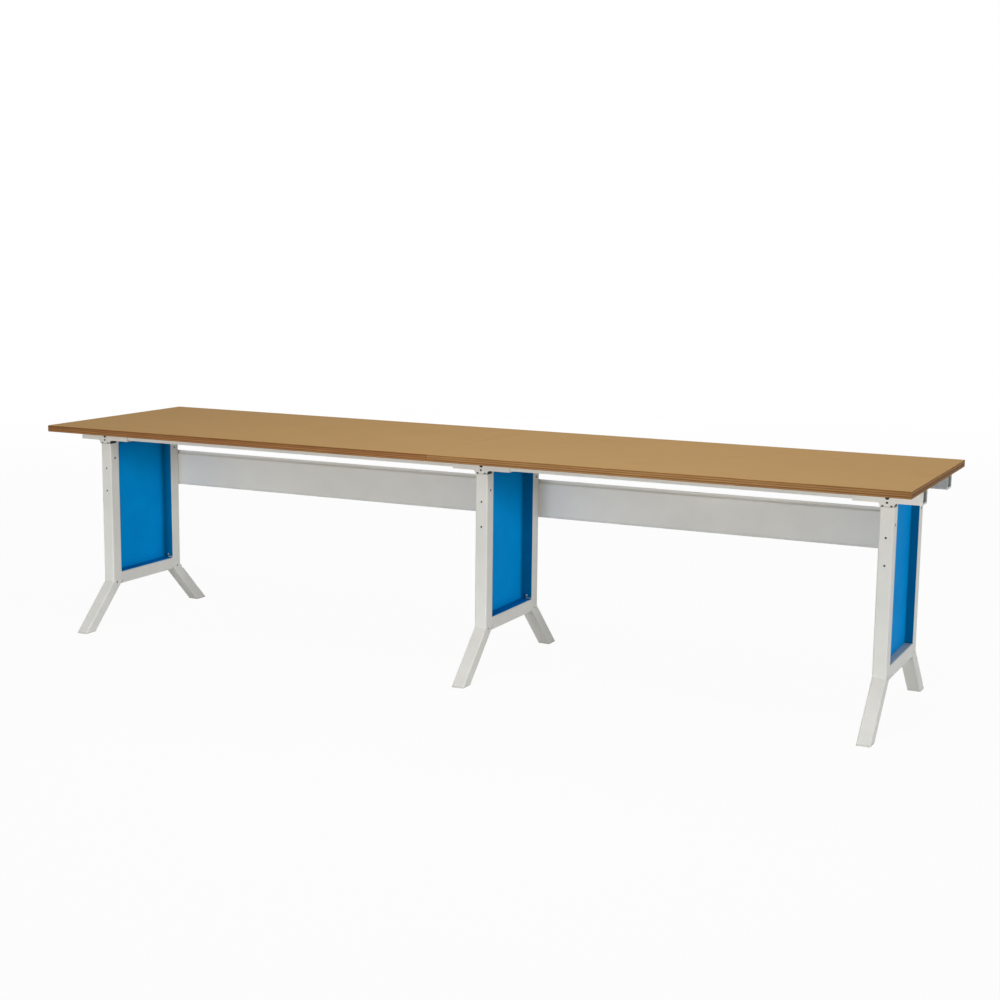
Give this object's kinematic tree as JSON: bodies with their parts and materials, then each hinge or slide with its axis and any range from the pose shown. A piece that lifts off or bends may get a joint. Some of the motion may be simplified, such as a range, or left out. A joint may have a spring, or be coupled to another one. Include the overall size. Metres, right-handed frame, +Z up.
{
  "type": "height-adjustable work table",
  "caption": "Long work table with plywood tops in a row on welded stands with splayed feet, telescopic posts, side panels and rear stretchers.",
  "frame": {"origin": "on the floor, under the centre of the two tops", "axes": "+X along the table to the right, +Y to the rear, +Z up"},
  "size_m": [3, 0.75, 0.738],
  "materials": {
    "plywood": "lacquered multi-ply board",
    "grey_powder_coat": "light grey powder coat",
    "blue_powder_coat": "blue powder coat",
    "zinc_steel": "zinc plated",
    "blackened_steel": "black oxide",
    "black_plastic": "moulded",
    "grey_plastic": "moulded"
  },
  "bodies": {
    "base": {"left_front_post": "grey_powder_coat", "left_front_foot": "grey_powder_coat", "left_front_foot_cap": "grey_plastic", "left_front_guide_bush": "black_plastic", "left_rear_post": "grey_powder_coat", "left_rear_foot": "grey_powder_coat", "left_rear_foot_cap": "grey_plastic", "left_rear_guide_bush": "black_plastic", "middle_front_post": "grey_powder_coat", "middle_front_foot": "grey_powder_coat", "middle_front_foot_cap": "grey_plastic", "middle_front_guide_bush": "black_plastic", "middle_rear_post": "grey_powder_coat", "middle_rear_foot": "grey_powder_coat", "middle_rear_foot_cap": "grey_plastic", "middle_rear_guide_bush": "black_plastic", "right_front_post": "grey_powder_coat", "right_front_foot": "grey_powder_coat", "right_front_foot_cap": "grey_plastic", "right_front_guide_bush": "black_plastic", "right_rear_post": "grey_powder_coat", "right_rear_foot": "grey_powder_coat", "right_rear_foot_cap": "grey_plastic", "right_rear_guide_bush": "black_plastic", "left_cross_beam": "grey_powder_coat", "left_side_panel": "blue_powder_coat", "middle_cross_beam": "grey_powder_coat", "middle_side_panel": "blue_powder_coat", "right_cross_beam": "grey_powder_coat", "right_side_panel": "blue_powder_coat", "left_stretcher": "grey_powder_coat", "right_stretcher": "grey_powder_coat"},
    "lift": {"left_front_inner_tube": "zinc_steel", "left_front_saddle": "grey_powder_coat", "left_rear_inner_tube": "zinc_steel", "left_rear_saddle": "grey_powder_coat", "middle_front_inner_tube": "zinc_steel", "middle_front_saddle": "grey_powder_coat", "middle_rear_inner_tube": "zinc_steel", "middle_rear_saddle": "grey_powder_coat", "right_front_inner_tube": "zinc_steel", "right_front_saddle": "grey_powder_coat", "right_rear_inner_tube": "zinc_steel", "right_rear_saddle": "grey_powder_coat", "left_top": "plywood", "left_front_rail": "grey_powder_coat", "left_rear_rail": "grey_powder_coat", "right_top": "plywood", "right_front_rail": "grey_powder_coat", "right_rear_rail": "grey_powder_coat", "front_rail_joiner": "zinc_steel", "rear_rail_joiner": "zinc_steel"},
    "left_front_clamp_screw": {"left_front_clamp_screw": "blackened_steel"},
    "left_rear_clamp_screw": {"left_rear_clamp_screw": "blackened_steel"},
    "middle_front_clamp_screw": {"middle_front_clamp_screw": "blackened_steel"},
    "middle_rear_clamp_screw": {"middle_rear_clamp_screw": "blackened_steel"},
    "right_front_clamp_screw": {"right_front_clamp_screw": "blackened_steel"},
    "right_rear_clamp_screw": {"right_rear_clamp_screw": "blackened_steel"}
  },
  "joints": [
    {"name": "height_slide", "type": "slide", "parent": "base", "child": "lift", "axis": [0, 0, 1], "range_m": [0, 0.3]},
    {"name": "left_front_clamp_turn", "type": "hinge", "parent": "base", "child": "left_front_clamp_screw", "pos_m": [-1.3751, -0.173, 0.6081], "axis": [1, 0, 0], "range_deg": [0, 450]},
    {"name": "left_rear_clamp_turn", "type": "hinge", "parent": "base", "child": "left_rear_clamp_screw", "pos_m": [-1.3751, 0.173, 0.6081], "axis": [1, 0, 0], "range_deg": [0, 450]},
    {"name": "middle_front_clamp_turn", "type": "hinge", "parent": "base", "child": "middle_front_clamp_screw", "pos_m": [0.1249, -0.173, 0.6081], "axis": [1, 0, 0], "range_deg": [0, 450]},
    {"name": "middle_rear_clamp_turn", "type": "hinge", "parent": "base", "child": "middle_rear_clamp_screw", "pos_m": [0.1249, 0.173, 0.6081], "axis": [1, 0, 0], "range_deg": [0, 450]},
    {"name": "right_front_clamp_turn", "type": "hinge", "parent": "base", "child": "right_front_clamp_screw", "pos_m": [1.4139, -0.173, 0.6081], "axis": [1, 0, 0], "range_deg": [0, 450]},
    {"name": "right_rear_clamp_turn", "type": "hinge", "parent": "base", "child": "right_rear_clamp_screw", "pos_m": [1.4139, 0.173, 0.6081], "axis": [1, 0, 0], "range_deg": [0, 450]}
  ]
}
